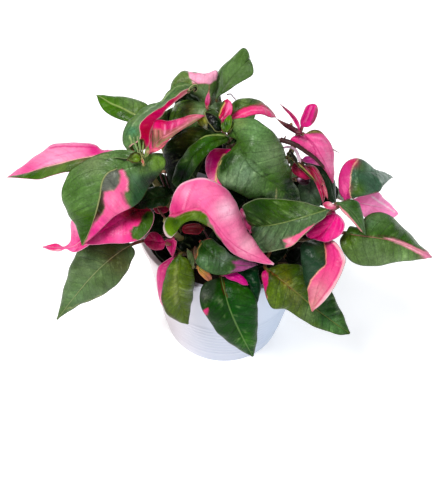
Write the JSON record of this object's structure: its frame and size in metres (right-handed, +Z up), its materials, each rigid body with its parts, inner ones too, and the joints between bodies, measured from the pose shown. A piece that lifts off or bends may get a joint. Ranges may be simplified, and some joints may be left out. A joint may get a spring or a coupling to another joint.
{
  "type": "potted foliage plant",
  "caption": "Young potted houseplant with pointed oval leaves variegated in pink and green, on short upright stems, in a small tapered white pot with fine ribs.",
  "frame": {"origin": "centre of the pot's flat base, on the surface it stands on", "axes": "+Z up, -Y towards the front of the plant as it was pictured, +X to the right of that view"},
  "size_m": [0.1933, 0.1489, 0.1591],
  "materials": {
    "leaf_green": "satin, green variegated leaf",
    "leaf_pink": "satin, pink variegated leaf",
    "stem_brown": "matte green-brown stem",
    "pot_white": "smooth white plastic",
    "soil_dark": "rough dark potting mix"
  },
  "bodies": {
    "root": {"cut_stalk": "stem_brown", "leaf_arching": "leaf_green", "leaf_back_left": "leaf_green", "leaf_back_low_left": "leaf_green", "leaf_back_low_right": "leaf_green", "leaf_back_middle": "leaf_green", "leaf_back_pink": "leaf_pink", "leaf_back_right": "leaf_green", "leaf_back_side_right": "leaf_green", "leaf_back_upper_left": "leaf_green", "leaf_bud_pink": "leaf_pink", "leaf_centre_big": "leaf_green", "leaf_centre_inner": "leaf_pink", "leaf_centre_pink": "leaf_pink", "leaf_curled": "leaf_green", "leaf_dark_back": "leaf_green", "leaf_dark_front": "leaf_green", "leaf_dark_narrow": "leaf_green", "leaf_front_low": "leaf_green", "leaf_front_olive": "leaf_green", "leaf_front_pink": "leaf_pink", "leaf_front_shaded": "leaf_green", "leaf_front_sliver": "leaf_pink", "leaf_front_upper": "leaf_green", "leaf_left_big": "leaf_green", "leaf_left_low": "leaf_green", "leaf_left_magenta": "leaf_pink", "leaf_left_outer": "leaf_pink", "leaf_left_twisted": "leaf_pink", "leaf_pink_drooping": "leaf_pink", "leaf_pink_pointed": "leaf_pink", "leaf_pink_upright": "leaf_pink", "leaf_red_narrow": "leaf_pink", "leaf_right_broad": "leaf_green", "leaf_right_greyish": "leaf_green", "leaf_right_hanging": "leaf_green", "leaf_right_low": "leaf_green", "leaf_right_magenta": "leaf_pink", "leaf_right_outer": "leaf_green", "leaf_right_pale": "leaf_pink", "leaf_right_small": "leaf_green", "leaf_right_upper": "leaf_green", "leaf_shaded_left": "leaf_green", "leaf_shaded_magenta": "leaf_pink", "leaf_top_left": "leaf_green", "leaf_top_right": "leaf_green", "leaf_top_tall": "leaf_green", "leaf_upper_left": "leaf_green", "pot": "pot_white", "soil": "soil_dark", "stem_back": "stem_brown", "stem_centre": "stem_brown", "stem_front": "stem_brown", "stem_front_left": "stem_brown", "stem_left": "stem_brown", "stem_right": "stem_brown", "stem_right_back": "stem_brown", "stem_top": "stem_brown", "stem_upper_left": "stem_brown"}
  },
  "joints": []
}
